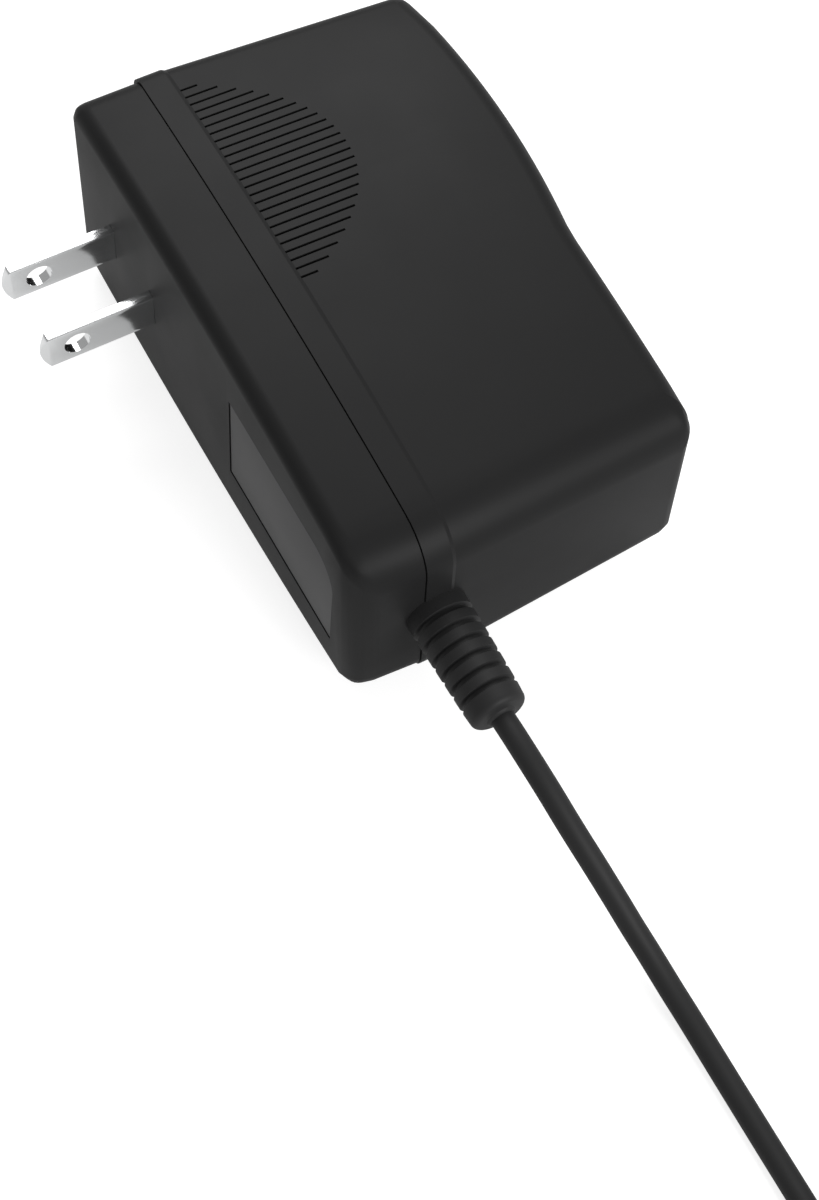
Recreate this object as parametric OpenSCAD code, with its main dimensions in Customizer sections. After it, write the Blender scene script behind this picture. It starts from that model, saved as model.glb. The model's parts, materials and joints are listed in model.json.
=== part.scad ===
// Wall power adapter: a two-blade mains plug on the wall face, a welded plastic housing with a
// switching supply inside, and a thin low-voltage lead that ends in a barrel plug.
// Frame: the housing lies on one broad face. +X points out of the wall, so the blades point to -X,
// the lead leaves towards -Y, and +Z goes through the two broad faces. The origin is under the
// middle of the housing and its blades, on the surface that the adapter lies on.

/* [Housing] */
// Length of the housing at the joint line
body_len = 86; // [82:1:100]
// Thickness over the crown of the two broad faces, without the band
body_thick = 38.2; // [37:0.5:44]
// Depth from the wall face to the back at the cord end
body_depth = 52.8; // [51:0.5:62]
// Extra depth of the arched back at the grip
grip_bulge = 1.95; // [0:0.05:3]
// Length of the arched stretch of the back, from the end without the cord
grip_len = 49.5; // [40:0.5:60]
// Depth of the front cover, from the wall face to the joint
cover_depth = 10.2; // [9:0.1:12]
// Width of the raised band behind the joint
band_width = 4.1; // [3:0.1:6]
// Height of the raised band
band_height = 0.2; // [0.1:0.05:0.5]
// Width of the shadow gap at the joint
joint_gap = 0.2; // [0.1:0.05:0.4]
// Wall thickness of both shells
wall = 2.2; // [1.8:0.1:2.6]
// Radius of the long arc that crowns the broad faces
crown_radius = 417; // [300:1:900]
// Distance of the crown's top from mid length, away from the cord
crown_shift = 8.5; // [0:0.5:12]
// Moulding draft of the broad faces behind the band, in degrees
face_draft = 2; // [0.5:0.1:2.5]
// Moulding draft of the two ends, in degrees
end_draft = 2.5; // [0.5:0.1:3]
// Rounding between the broad faces and the end with the cord
near_round = 5; // [4:0.1:7]
// Rounding between the broad faces and the other end
far_round = 3.6; // [3.4:0.1:6]
// Rounding round the wall face
front_round = 3; // [2:0.1:3.2]
// Rounding between the back and the broad faces
back_round = 3.8; // [3:0.1:6]
// Rounding of the two upright corners at the back
corner_round = 6; // [4:0.1:8]

/* [Grip grooves] */
// Number of fine grooves on the broad face
groove_count = 25; // [15:1:25]
// Distance from groove to groove
groove_pitch = 1.5; // [1.2:0.05:1.55]
// Width of one groove
groove_width = 0.42; // [0.3:0.02:0.8]
// Depth of one groove
groove_depth = 0.6; // [0.3:0.05:1]
// Length of the longest groove
groove_len = 16.5; // [10:0.5:24]
// Distance of the middle groove from mid length
groove_shift = 19; // [16:0.5:20]

/* [Mains blades] */
// Width of a blade
blade_width = 6.35; // [6:0.05:6.6]
// Thickness of a blade
blade_thick = 1.5; // [1.3:0.05:1.7]
// Distance between the two blades, middle to middle
blade_pitch = 12.7; // [12.5:0.1:13]
// Length of a blade in front of the wall face
blade_out = 17.3; // [15.9:0.1:18.3]
// Length of the bevel at the tip of a blade
blade_bevel = 1.25; // [0.6:0.05:2]
// Diameter of the hole in a blade
blade_hole = 4; // [3.1:0.1:4.2]
// Distance of that hole from the wall face
blade_hole_at = 11.9; // [11:0.1:12.5]
// Distance of the outer blade from the far end of the housing
blade_end_gap = 12.6; // [11.6:0.2:14.2]
// Play of a blade in its slot, all round
blade_fit = 0.05; // [0.02:0.01:0.15]

/* [Blank plate] */
// Length of the blank plate on the wall face
plate_len = 29.4; // [20:0.1:32]
// Height of the blank plate
plate_height = 17.9; // [12:0.1:20]
// Thickness of the blank plate
plate_thick = 0.25; // [0.1:0.05:0.3]
// Depth of the recess that the plate lies in
plate_recess = 0.35; // [0.3:0.05:0.6]
// Gap between the plate and the edge of its recess
plate_gap = 0.2; // [0.1:0.05:0.4]
// Large rounding at one corner of the plate
plate_round = 5.4; // [2:0.1:8]
// Distance of the plate's middle from mid length
plate_shift = -21.3; // [-23:0.1:-18]

/* [Strain relief] */
// Length of the strain relief outside the housing
relief_len = 18; // [15:0.5:24]
// Diameter at the housing
relief_base_d = 8.7; // [8:0.1:10]
// Diameter at the free end
relief_tip_d = 7.7; // [6.5:0.1:8.5]
// Diameter of the neck in the housing wall
relief_neck_d = 6.4; // [5.5:0.1:7]
// Diameter of the flange inside the housing
relief_flange_d = 9.2; // [8:0.1:10]
// Thickness of that flange
relief_flange = 2; // [1.5:0.1:3]
// Number of ring grooves
relief_grooves = 6; // [3:1:6]
// Distance from ring groove to ring groove
relief_pitch = 2.3; // [2:0.05:2.4]
// Depth of a ring groove
relief_groove_depth = 0.4; // [0.2:0.05:0.6]
// Play of the neck in the housing wall
relief_fit = 0.1; // [0.05:0.05:0.3]

/* [Lead] */
// Diameter of the lead
cord_d = 3.4; // [3:0.1:3.8]
// Turns in the coil, side by side
coil_columns = 5.5; // [3.5:0.5:6.5]
// Layers in the coil
coil_layers = 2; // [1:1:3]
// Radius of the coil at the middle of its turns
coil_radius = 19; // [17:0.5:20.5]
// Thickness of the tie round the coil
tie_thick = 0.6; // [0.4:0.1:1]
// Width of the tie
tie_width = 5; // [3:0.5:8]

/* [Barrel plug] */
// Outer diameter of the barrel
barrel_d = 5.5; // [4:0.1:5.5]
// Diameter of the hole for the centre pin
barrel_bore = 2.1; // [1.7:0.1:2.5]
// Length of the barrel
barrel_len = 9.5; // [8:0.1:12]
// Diameter of the moulded grip
grip_d = 10; // [9:0.1:10]
// Length of the moulded grip
grip_length = 22; // [18:0.5:30]

/* [Circuit board] */
// Distance of the board's short edges from the ends of the housing
board_end_gap = 5.5; // [5:0.5:6]
// Distance of the board's rear edge from the back of the housing
board_back_gap = 4.8; // [3.8:0.1:5.3]
// Thickness of the board
board_thick = 1.6; // [1:0.1:2]
// Height of the board's underside above the middle of the lower shell floor
board_raise = 5.2; // [4.8:0.1:6]
// Distance of the board's front edge from the wall face
board_front = 9; // [8.5:0.1:10]
// Diameter of a component pin
pin_d = 0.8; // [0.5:0.1:1]
// Play of a pin in its hole, on the diameter
pin_play = 0.2; // [0.1:0.05:0.4]

/* [Components] */
// Diameter of the mains smoothing capacitor
bulk_d = 16; // [12:0.5:18]
// Height of the mains smoothing capacitor
bulk_h = 21; // [16:0.5:22]
// Length of the transformer core
core_len = 22; // [20:0.5:23.5]
// Width of the transformer core
core_width = 6; // [5:0.5:8]
// Height of the transformer
core_height = 20; // [18:0.5:21]
// Diameter of an output capacitor
output_d = 10; // [8:0.5:10]
// Height of an output capacitor
output_h = 16; // [12:0.5:20]
// Thickness of a heat sink plate
sink_thick = 1.5; // [1:0.1:2]

/* [Hidden] */

plastic = [0.18, 0.18, 0.18];
soft_plastic = [0.15, 0.15, 0.15];
nickel = [0.78, 0.79, 0.8];
eps = 0.01;

// Overall places. wall_x is the wall face, mid_z the plane half way between the broad faces.
wall_x = (blade_out - body_depth - grip_bulge) / 2;
mid_z = body_thick / 2 + band_height;
joint_x = cover_depth + joint_gap;
band_end = cover_depth + band_width;
grip_centre = body_len / 2 - grip_len / 2;
lip = wall / 2;
lip_len = 2;
lip_play = 0.15;
corner_steps = 6;
crown_steps = 14;
round_steps = 5;

// Height of the crowned face above the middle plane at the place y
function crown(y) = body_thick / 2
    - crown_radius + sqrt(pow(crown_radius, 2) - pow(y - crown_shift, 2));
// Tilt of the crowned face at the place y
function crown_tilt(y) = asin((crown_shift - y) / crown_radius);
// Bulge of the back at the place y: an arc of its own over the grip, eased into the straight back
function bulge_arc(y) = grip_bulge * (1 - pow((y - grip_centre) / (grip_len / 2), 2));
function bulge(y) = let (b = bulge_arc(y), ease = 0.12)
    (y > grip_centre) ? max(b, 0) : (b + sqrt(b * b + ease * ease)) / 2;

// Upper half of a section across the housing, from the cord end to the far end. Each point is
// [y, z, t], where t goes from 0 on an end face to 1 on the broad face.
function half_outline(near_in, far_in, face_in) = let (
    y_near = -body_len / 2 + near_in,
    y_far = body_len / 2 - far_in,
    shrink = max(min(near_in, face_in), 0),
    r_near = max(near_round - shrink, 0.4),
    r_far = max(far_round - shrink, 0.4),
    c_near = y_near + r_near,
    c_far = y_far - r_far,
    a_near = crown_tilt(c_near),
    a_far = crown_tilt(c_far),
    t_near = c_near - r_near * sin(a_near),
    t_far = c_far - r_far * sin(a_far),
    z_near = crown(t_near) - face_in - r_near * cos(a_near),
    z_far = crown(t_far) - face_in - r_far * cos(a_far))
    concat(
        [for (i = [0:corner_steps]) let (k = i / corner_steps, a = k * (90 - a_near))
            [c_near - r_near * cos(a), z_near + r_near * sin(a), k]],
        [for (i = [1:crown_steps - 1]) let (y = t_near + (t_far - t_near) * i / crown_steps)
            [y, crown(y) - face_in, 1]],
        [for (i = [corner_steps:-1:0]) let (k = i / corner_steps, a = k * (90 + a_far))
            [c_far + r_far * cos(a), z_far + r_far * sin(a), k]]);

// A closed ring across the housing. follow says how much of the back's bulge it takes, and lift
// pulls its points back towards the wall by the rounding that they belong to.
function ring(x, near_in, far_in, face_in, follow = 0, lift = 0, r_end = 0, r_face = 0) = let (
    h = half_outline(near_in, far_in, face_in),
    up = [for (p = h) [x + follow * bulge(p[0]) - lift * (r_end + (r_face - r_end) * p[2]),
        p[0], p[1]]])
    concat(up, [for (i = [len(up) - 1:-1:0]) [up[i][0], up[i][1], -up[i][2]]]);

// A solid skinned over rings of equal length. Its first and last ring are closed by strips
// between points of equal y.
module skin(rings) {
    n = len(rings[0]);
    m = len(rings);
    half = n / 2;
    points = [for (r = rings) each r];
    sides = [for (j = [0:m - 2]) for (i = [0:n - 1]) let (k = (i + 1) % n)
        each [[j * n + i, j * n + k, (j + 1) * n + k], [j * n + i, (j + 1) * n + k, (j + 1) * n + i]]];
    first = [for (i = [0:half - 2]) [i, n - 1 - i, n - 2 - i, i + 1]];
    last = [for (f = first) [for (k = [3:-1:0]) f[k] + (m - 1) * n]];
    polyhedron(points, concat(sides, first, last), convexity = 8);
}

// Insets of a rear shell ring at the depth x, from the draft of its ends and broad faces
function end_in(x) = max(x - band_end, 0) * tan(end_draft);
function face_in(x) = max(x - band_end, 0) * tan(face_draft);
// The cover's cord end leans in towards the wall by the same draft
function cover_in(x) = (cover_depth - x) * tan(end_draft);

// Rings of the front cover's outside from the joint to the wall face, and of its inside back
function cover_outer() = concat(
    [ring(cover_depth, 0, 0, 0)],
    [for (i = [round_steps:-1:0]) let (a = 90 * i / round_steps, e = front_round * (1 - sin(a)),
            x = front_round * (1 - cos(a)))
        ring(x, e + cover_in(x), e, e)]);
function cover_inner() = let (r = front_round - wall * 0.6) concat(
    [for (i = [0:2]) let (a = 45 * i, e = wall + r * (1 - sin(a)), x = wall + r * (1 - cos(a)))
        ring(x, e + cover_in(x), e, e)],
    [ring(cover_depth + lip_len, wall, wall, wall),
        ring(cover_depth + lip_len, lip + lip_play, lip + lip_play, lip + lip_play),
        ring(cover_depth, lip + lip_play, lip + lip_play, lip + lip_play),
        ring(cover_depth, 0, 0, 0)]);

// Rings of the rear housing's inside from the joint to the back, and of its outside
back_x = body_depth;
function back_rings(off) = let (re = max(corner_round - off, 1), rf = max(back_round - off, 1))
    [for (i = [0:round_steps]) let (a = 90 * i / round_steps, s = 1 - cos(a), x = back_x - off)
        ring(x, off + end_in(x) + re * s, off + end_in(x) + re * s, off + face_in(x) + rf * s,
            1, 1 - sin(a), re, rf)];
function straight_rings(off, x0, steps) = [for (i = [0:steps]) let (k = i / (steps + 1),
        x = x0 + k * (back_x - off - corner_round - x0))
    ring(x, off + end_in(x), off + end_in(x), off + face_in(x), k)];
function rear_outer() = concat(
    [ring(joint_x, -band_height, -band_height, -band_height),
        ring(band_end, -band_height, -band_height, -band_height),
        ring(band_end + band_height, 0, 0, 0)],
    [for (r = straight_rings(0, band_end + 4 * band_height, 2)) r],
    back_rings(0));
function reversed(list) = [for (i = [len(list) - 1:-1:0]) list[i]];
function rear_inner() = concat(
    [ring(joint_x, lip, lip, lip),
        ring(cover_depth + lip_len, lip, lip, lip),
        ring(cover_depth + lip_len, wall, wall, wall)],
    [for (r = straight_rings(wall, band_end + wall, 2)) r],
    back_rings(wall));

// Place of things that are given from the wall face and the middle plane
module from_wall() {
    translate([wall_x, 0, mid_z]) children();
}

// Blades sit in bosses behind the wall face
blade_y = [for (i = [0, 1]) body_len / 2 - blade_end_gap - i * blade_pitch];
boss_depth = 2;
shoulder = 2;
blade_root = wall + boss_depth;
blade_in = board_front + 4.5;
tail_width = 5;

// The lead's exit: in the middle of the raised band, half way up
exit_x = cover_depth + band_width / 2;
exit_y = -body_len / 2 - band_height;

// Blank plate with one large rounded corner
module plate_outline(grow) {
    w = plate_len / 2 + grow;
    h = plate_height / 2 + grow;
    r = plate_round + grow;
    difference() {
        square([2 * w, 2 * h], center = true);
        translate([-w, h]) difference() {
            square(2 * r, center = true);
            translate([r, -r]) circle(r = r, $fn = 48);
        }
    }
}

// Stands a flat outline drawn in y and z against the wall face, with its thickness towards +X
module on_wall(x, depth) {
    translate([x, 0, 0]) rotate([90, 0, 90]) linear_extrude(depth) children();
}

module blade_slots(play) {
    for (y = blade_y)
        translate([-eps, y - blade_thick / 2 - play, -blade_width / 2 - play])
            cube([blade_root + 2 * eps, blade_thick + 2 * play, blade_width + 2 * play]);
}

module relief_hole() {
    translate([exit_x, -body_len / 2 - 2, 0]) rotate([-90, 0, 0])
        cylinder(d = relief_neck_d + 2 * relief_fit, h = wall + 5, $fn = 64);
}

module front_cover() {
    color(plastic) from_wall() difference() {
        union() {
            skin(concat(reversed(cover_outer()), reversed(cover_inner())));
            for (y = blade_y)
                translate([wall - 1, y - 3, -6]) cube([boss_depth + 1, 6, 12]);
        }
        blade_slots(blade_fit);
        relief_hole();
        translate([0, plate_shift, 0]) on_wall(-eps, plate_recess + eps) plate_outline(plate_gap);
    }
}

// One fine groove in the broad face, following the draft
module groove(y, length) {
    translate([band_end, y, crown(y)]) rotate([0, face_draft, 0])
        translate([0, -groove_width / 2, -groove_depth])
            cube([length, groove_width, groove_depth + 1]);
}

module grip_grooves() {
    half = groove_count * groove_pitch / 2;
    for (i = [0:groove_count - 1]) {
        off = (i - (groove_count - 1) / 2) * groove_pitch;
        groove(groove_shift - off, groove_len * (1 - pow(abs(off) / (half + 0.7), 2.2)));
    }
}

board_len = body_len - 2 * board_end_gap;
board_width = body_depth - board_front - board_back_gap;
board_z = -body_thick / 2 + wall + board_raise;
board_top = board_z + board_thick;
board_back = board_front + board_width;
rail = 2;

// Rails at both ends that carry the board, trimmed inside the thickness of the shell's wall
module board_rails() {
    reach = body_len / 2 - board_len / 2 + rail;
    intersection() {
        union() {
            for (y = [-body_len / 2, body_len / 2 - reach])
                translate([band_end, y, board_z - rail])
                    cube([board_back - band_end - 2, reach, rail]);
        }
        skin(concat(straight_rings(wall / 2, band_end - 1, 2), back_rings(wall / 2)));
    }
}

module rear_housing() {
    color(plastic) from_wall() difference() {
        union() {
            skin(concat(reversed(rear_inner()), rear_outer()));
            board_rails();
        }
        relief_hole();
        grip_grooves();
    }
}

module blank_plate() {
    color([0.33, 0.33, 0.33]) from_wall() translate([0, plate_shift, 0])
        on_wall(plate_recess - plate_thick, plate_thick) plate_outline(0);
}

// A blade drawn along x, with its hole, bevelled and rounded tip, shoulder and tail
module blade() {
    tip_r = (pow(blade_width / 2, 2) + pow(blade_bevel, 2)) / (2 * blade_bevel);
    difference() {
        rotate([90, 0, 0]) translate([0, 0, -blade_thick / 2]) linear_extrude(blade_thick) {
            intersection() {
                translate([-blade_out, -blade_width / 2])
                    square([blade_out + blade_root, blade_width]);
                translate([tip_r - blade_out, 0]) union() {
                    circle(r = tip_r, $fn = 128);
                    translate([0, -tip_r]) square([2 * blade_out, 2 * tip_r]);
                }
            }
            translate([blade_root, -blade_width / 2 - 1]) square([shoulder, blade_width + 2]);
            translate([blade_root + shoulder - eps, -tail_width / 2])
                square([blade_in - blade_root - shoulder + eps, tail_width]);
        }
        translate([-blade_hole_at, 0, 0]) rotate([90, 0, 0])
            cylinder(d = blade_hole, h = 2 * blade_thick, center = true, $fn = 48);
        for (side = [-1, 1])
            translate([blade_bevel - blade_out, side * blade_thick / 2, 0])
                rotate([0, 0, -side * atan(blade_thick / 2 / blade_bevel)])
                    translate([-3, side > 0 ? 0 : -1, -blade_width]) cube([3, 1, 2 * blade_width]);
    }
}

module line_blade() {
    color(nickel) from_wall() translate([0, blade_y[0], 0]) blade();
}

module neutral_blade() {
    color(nickel) from_wall() translate([0, blade_y[1], 0]) blade();
}

// A spring contact that stands on the board and presses on the side of a blade's tail
contact_thick = 0.5;
module contact(y) {
    color([0.72, 0.6, 0.35]) from_wall()
        translate([board_front + 0.5, y - blade_thick / 2 - contact_thick, 0]) {
            translate([0, 0, board_top]) cube([4, contact_thick, tail_width / 2 - board_top]);
            translate([0, -3 + contact_thick, board_top]) cube([4, 3, contact_thick]);
            for (x = [0.8, 3.2])
                translate([x, -1.2, board_z - 1]) cylinder(d = pin_d, h = board_thick + 1.2, $fn = 24);
        }
}

module line_contact() {
    contact(blade_y[0]);
}

module neutral_contact() {
    contact(blade_y[1]);
}

// Places of the components, as parts of the board's width from its front edge and of its length
// from its middle. They are drawn for a board of 39 by 75 mm, and shrink on a smaller one.
fuse_at = [0.246, 0.407];
thermistor_at = [0.231, 0.248];
x_cap_at = [0.641, 0.453];
choke_at = [0.641, 0.28];
bridge_at = [0.938, 0.32];
bulk_at = [0.295, 0.067];
transistor_at = [0.887, 0.08];
transformer_at = [0.551, -0.181];
chip_at = [0.641, 0.093];
y_cap_at = [0.936, -0.087];
opto_at = [0.915, -0.208];
diode_at = [0.887, -0.387];
output_at = [[0.538, -0.413], [0.269, -0.413]];
inductor_at = [0.118, -0.213];
fit = min(board_width / 39, board_len / 75, 1);

// The inner wires stay in line with the lead, whatever the board's size
wire_spacing = 2;
wire_at = [for (side = [1, -1]) [exit_x + side * wire_spacing / 2, -board_len / 2 + 10]];

// Pins of each component: x and y offsets from its place
fuse_pins = [[0, -2.5], [0, 2.5]];
thermistor_pins = [[0, -2.5], [0, 2.5]];
x_cap_pins = [[-7.5, 0], [7.5, 0]];
choke_pins = [[-4.5, -6.5], [4.5, -6.5], [-4.5, 6.5], [4.5, 6.5]];
bridge_pins = [[0, -5.7], [0, -1.9], [0, 1.9], [0, 5.7]];
bulk_pins = [[-3.75, 0], [3.75, 0]];
to220_pins = [[-0.6, -2.54], [-0.6, 0], [-0.6, 2.54]];
transformer_pins = [for (x = [-9, -3, 3, 9]) for (y = [-8.5, 8.5]) [x, y]];
chip_pins = [for (x = [-3, -1, 1, 3]) for (y = [-3.3, 3.3]) [x, y]];
y_cap_pins = [[0, -3.75], [0, 3.75]];
opto_pins = [[-1.3, -3.8], [1.3, -3.8], [-1.3, 3.8], [1.3, 3.8]];
output_pins = [[-2.5, 0], [2.5, 0]];
inductor_pins = [[0, -2.5], [0, 2.5]];
contact_pins = [for (y = blade_y) for (x = [1.3, 3.7])
    [board_front + x, y - blade_thick / 2 - contact_thick - 1.2]];
function spot(at) = [board_front + at[0] * board_width, at[1] * board_len];
function moved(pins, at) = [for (p = pins) fit * p + spot(at)];
all_pins = concat(moved(fuse_pins, fuse_at), moved(thermistor_pins, thermistor_at),
    moved(x_cap_pins, x_cap_at), moved(choke_pins, choke_at), moved(bridge_pins, bridge_at),
    moved(bulk_pins, bulk_at), moved(to220_pins, transistor_at),
    moved(transformer_pins, transformer_at), moved(chip_pins, chip_at),
    moved(y_cap_pins, y_cap_at), moved(opto_pins, opto_at), moved(to220_pins, diode_at),
    moved(output_pins, output_at[0]), moved(output_pins, output_at[1]),
    moved(inductor_pins, inductor_at), contact_pins, wire_at);

module circuit_board() {
    color([0.75, 0.62, 0.35]) from_wall() difference() {
        translate([board_front, -board_len / 2, board_z]) cube([board_width, board_len, board_thick]);
        for (p = all_pins)
            translate([p[0], p[1], board_z - eps])
                cylinder(d = pin_d + pin_play, h = board_thick + 2 * eps, $fn = 16);
    }
}

// A folded sheet of card between the solder side and the shell, with its folds on the board
sheet_thick = 0.4;
module insulating_sheet() {
    color([0.85, 0.85, 0.8]) from_wall()
        translate([board_front, -board_len / 2 + rail + 1, board_z - 1 - sheet_thick]) {
            cube([board_width - 1, board_len - 2 * rail - 2, sheet_thick]);
            for (x = [0, board_width - 1 - sheet_thick])
                translate([x, 0, 0]) cube([sheet_thick, board_len - 2 * rail - 2, 1 + sheet_thick]);
        }
}

// Puts a piece on its place on the board
module on_spot(at) {
    from_wall() translate([spot(at)[0], spot(at)[1], board_top]) scale(fit) children();
}

// Puts a component on the board, with its pins through it
module on_board(at, pins) {
    on_spot(at) {
        children();
        for (p = pins)
            translate([p[0], p[1], -board_thick - 0.8])
                cylinder(d = pin_d, h = board_thick + 0.8 + 0.2, $fn = 24);
    }
}

// A can standing on its end, with a rolled-in neck and a dished top
module can(d, h) {
    rotate_extrude($fn = 64) polygon([[0, 0], [d / 2 - 0.4, 0], [d / 2, 0.4], [d / 2, 1.6],
        [d / 2 - 0.5, 2.1], [d / 2 - 0.5, 2.5], [d / 2, 3], [d / 2, h - 0.6], [d / 2 - 0.6, h],
        [d / 2 - 1, h], [d / 2 - 1.3, h - 0.3], [0, h - 0.3]]);
}

module fuse() {
    color([0.2, 0.2, 0.2]) on_board(fuse_at, fuse_pins)
        cylinder(d = 8.5, h = 8, $fn = 48);
}

module thermistor() {
    color([0.2, 0.3, 0.25]) on_board(thermistor_at, thermistor_pins)
        translate([-2, 0, 5]) rotate([0, 90, 0]) {
            cylinder(d = 9, h = 4, $fn = 48);
            translate([0, -3.5, 1]) cube([5, 7, 2]);
        }
}

module x_capacitor() {
    color([0.85, 0.75, 0.2]) on_board(x_cap_at, x_cap_pins) difference() {
        translate([-9, -3.25, 0]) cube([18, 6.5, 14]);
        for (side = [-1, 1])
            translate([side * 9, 0, -eps]) cube([2, 4.5, 1], center = true);
    }
}

// Common-mode choke: a ring core with a square window, and two wound bobbins on its long limbs
choke_limb = 4;
choke_lift = 3.5;
module choke_core() {
    color([0.25, 0.25, 0.26]) on_spot(choke_at) translate([0, 0, choke_lift])
        difference() {
            translate([-6.5, -9, 0]) cube([13, 18, choke_limb]);
            translate([-6.5 + choke_limb, -9 + choke_limb, -eps])
                cube([13 - 2 * choke_limb, 18 - 2 * choke_limb, choke_limb + 2 * eps]);
        }
}

module choke_windings() {
    color([0.7, 0.35, 0.2]) {
        on_board(choke_at, choke_pins);
        on_spot(choke_at) for (side = [-1, 1])
            translate([side * 4.5, 0, 0]) difference() {
                union() {
                    translate([0, -4.6, choke_lift + choke_limb / 2]) rotate([-90, 0, 0])
                        cylinder(d = 7.2, h = 9.2, $fn = 48);
                    translate([-2.2, -7.5, 0]) cube([4.4, 15, choke_lift]);
                }
                translate([-choke_limb / 2, -10, choke_lift]) cube([choke_limb, 20, choke_limb]);
            }
    }
}

module bridge_rectifier() {
    color([0.15, 0.15, 0.15]) on_board(bridge_at, bridge_pins) difference() {
        translate([-1.75, -7.5, 0]) cube([3.5, 15, 11]);
        translate([-3, 7.5, 11]) rotate([45, 0, 0]) cube([6, 3, 3], center = true);
    }
}

module bulk_capacitor() {
    color([0.15, 0.17, 0.3]) on_board(bulk_at, bulk_pins) can(bulk_d, bulk_h);
}

// A power device with a metal tab that is screwed against its heat sink
tab_hole = 3.6;
module power_device() {
    translate([-1.2, -5, 3]) cube([3.2, 10, 9]);
    translate([2 - 1.3, -5, 3]) difference() {
        cube([1.3, 10, 15.5]);
        translate([-1, 5, 12.7]) rotate([0, 90, 0]) cylinder(d = tab_hole, h = 4, $fn = 32);
    }
    for (p = to220_pins)
        translate([p[0], p[1], 0]) cylinder(d = pin_d, h = 4, $fn = 24);
}

// The heat sink behind a power device: a plate with a foot on the board
module heat_sink(at, length) {
    color([0.7, 0.71, 0.73]) on_spot(at) translate([2, 0, 0]) difference() {
        translate([0, -length / 2, 0]) cube([sink_thick, length, 19]);
        translate([-1, 0, 15.7]) rotate([0, 90, 0]) cylinder(d = tab_hole - 1, h = 4, $fn = 32);
    }
}

module switching_transistor() {
    color([0.13, 0.13, 0.13]) on_board(transistor_at, to220_pins) power_device();
}

module primary_heat_sink() {
    heat_sink(transistor_at, 14);
}

// Transformer: an E core pair round a bobbin with its winding
bobbin_wall = 1;
core_lift = 2;
module transformer_core() {
    color([0.22, 0.22, 0.24]) on_spot(transformer_at)
        translate([0, 0, core_lift]) {
            leg = core_len / 6;
            height = core_height - core_lift;
            difference() {
                translate([-core_len / 2, -core_width / 2, 0]) cube([core_len, core_width, height]);
                for (side = [-1, 1])
                    translate([side > 0 ? leg : -core_len / 2 + leg, -core_width, leg])
                        cube([core_len / 2 - 2 * leg, 2 * core_width, height - 2 * leg]);
            }
        }
}

module transformer_bobbin() {
    leg = core_len / 6;
    height = core_height - core_lift - 2 * leg;
    window = core_len / 2 - leg;
    color([0.1, 0.1, 0.1]) {
        on_board(transformer_at, transformer_pins)
            for (side = [-1, 1])
                translate([-core_len / 2, side > 0 ? core_width / 2 + 0.3 : -core_width / 2 - 7.3, 0])
                    cube([core_len, 7, leg + core_lift]);
        on_spot(transformer_at) translate([0, 0, core_lift + leg])
            difference() {
                union() {
                    for (z = [0, height - bobbin_wall])
                        translate([-window + 0.3, -9, z]) cube([2 * window - 0.6, 18, bobbin_wall]);
                    translate([-leg - 0.8, -core_width / 2 - 0.8, 0])
                        cube([2 * leg + 1.6, core_width + 1.6, height]);
                }
                translate([-leg - 0.1, -core_width / 2 - 0.1, -eps])
                    cube([2 * leg + 0.2, core_width + 0.2, height + 2 * eps]);
            }
    }
}

module transformer_winding() {
    leg = core_len / 6;
    height = core_height - core_lift - 2 * leg;
    window = core_len / 2 - leg;
    color([0.85, 0.7, 0.15]) on_spot(transformer_at)
        translate([0, 0, core_lift + leg + bobbin_wall])
            difference() {
                linear_extrude(height - 2 * bobbin_wall) intersection() {
                    square([2 * window - 0.8, 17], center = true);
                    circle(d = 18, $fn = 64);
                }
                translate([-leg - 0.8, -core_width / 2 - 0.8, -1])
                    cube([2 * leg + 1.6, core_width + 1.6, height + 2]);
            }
}

module y_capacitor() {
    color([0.25, 0.45, 0.75]) on_board(y_cap_at, y_cap_pins)
        translate([-1.75, 0, 4.5]) rotate([0, 90, 0]) {
            cylinder(d = 8, h = 3.5, $fn = 48);
            translate([0, -4.4, 1]) cube([4.5, 8.8, 1.5]);
        }
}

// A small moulded package with a pin-one notch
module package(length, width) {
    difference() {
        translate([-length / 2, -width / 2, 0.3]) cube([length, width, 3.3]);
        translate([-length / 2, 0, 3]) cylinder(d = 1.6, h = 1, $fn = 24);
    }
}

module leaded_package(pins, length, width) {
    package(length, width);
    for (p = pins)
        translate([p[0] - 0.3, min(p[1], 0), 1.6]) cube([0.6, abs(p[1]), 0.3]);
    for (p = pins)
        translate([p[0], p[1], 0]) cylinder(d = pin_d, h = 1.9, $fn = 24);
}

module optocoupler() {
    color([0.12, 0.12, 0.12]) on_board(opto_at, opto_pins) leaded_package(opto_pins, 4.6, 6.5);
}

module controller_chip() {
    color([0.12, 0.12, 0.12]) on_board(chip_at, chip_pins) leaded_package(chip_pins, 9, 5.6);
}

module output_diode() {
    color([0.13, 0.13, 0.13]) on_board(diode_at, to220_pins) power_device();
}

module output_heat_sink() {
    heat_sink(diode_at, 16);
}

module output_capacitors() {
    color([0.12, 0.12, 0.14]) for (at = output_at)
        on_board(at, output_pins) can(output_d, output_h);
}

// A drum core choke with its winding in one heat-shrunk piece
module output_inductor() {
    color([0.16, 0.16, 0.17]) on_board(inductor_at, inductor_pins)
        rotate_extrude($fn = 48) polygon([[0, 0], [4, 0], [4, 1.5], [3.4, 2], [3.4, 8], [4, 8.5],
            [4, 10], [0, 10]]);
}

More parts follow.
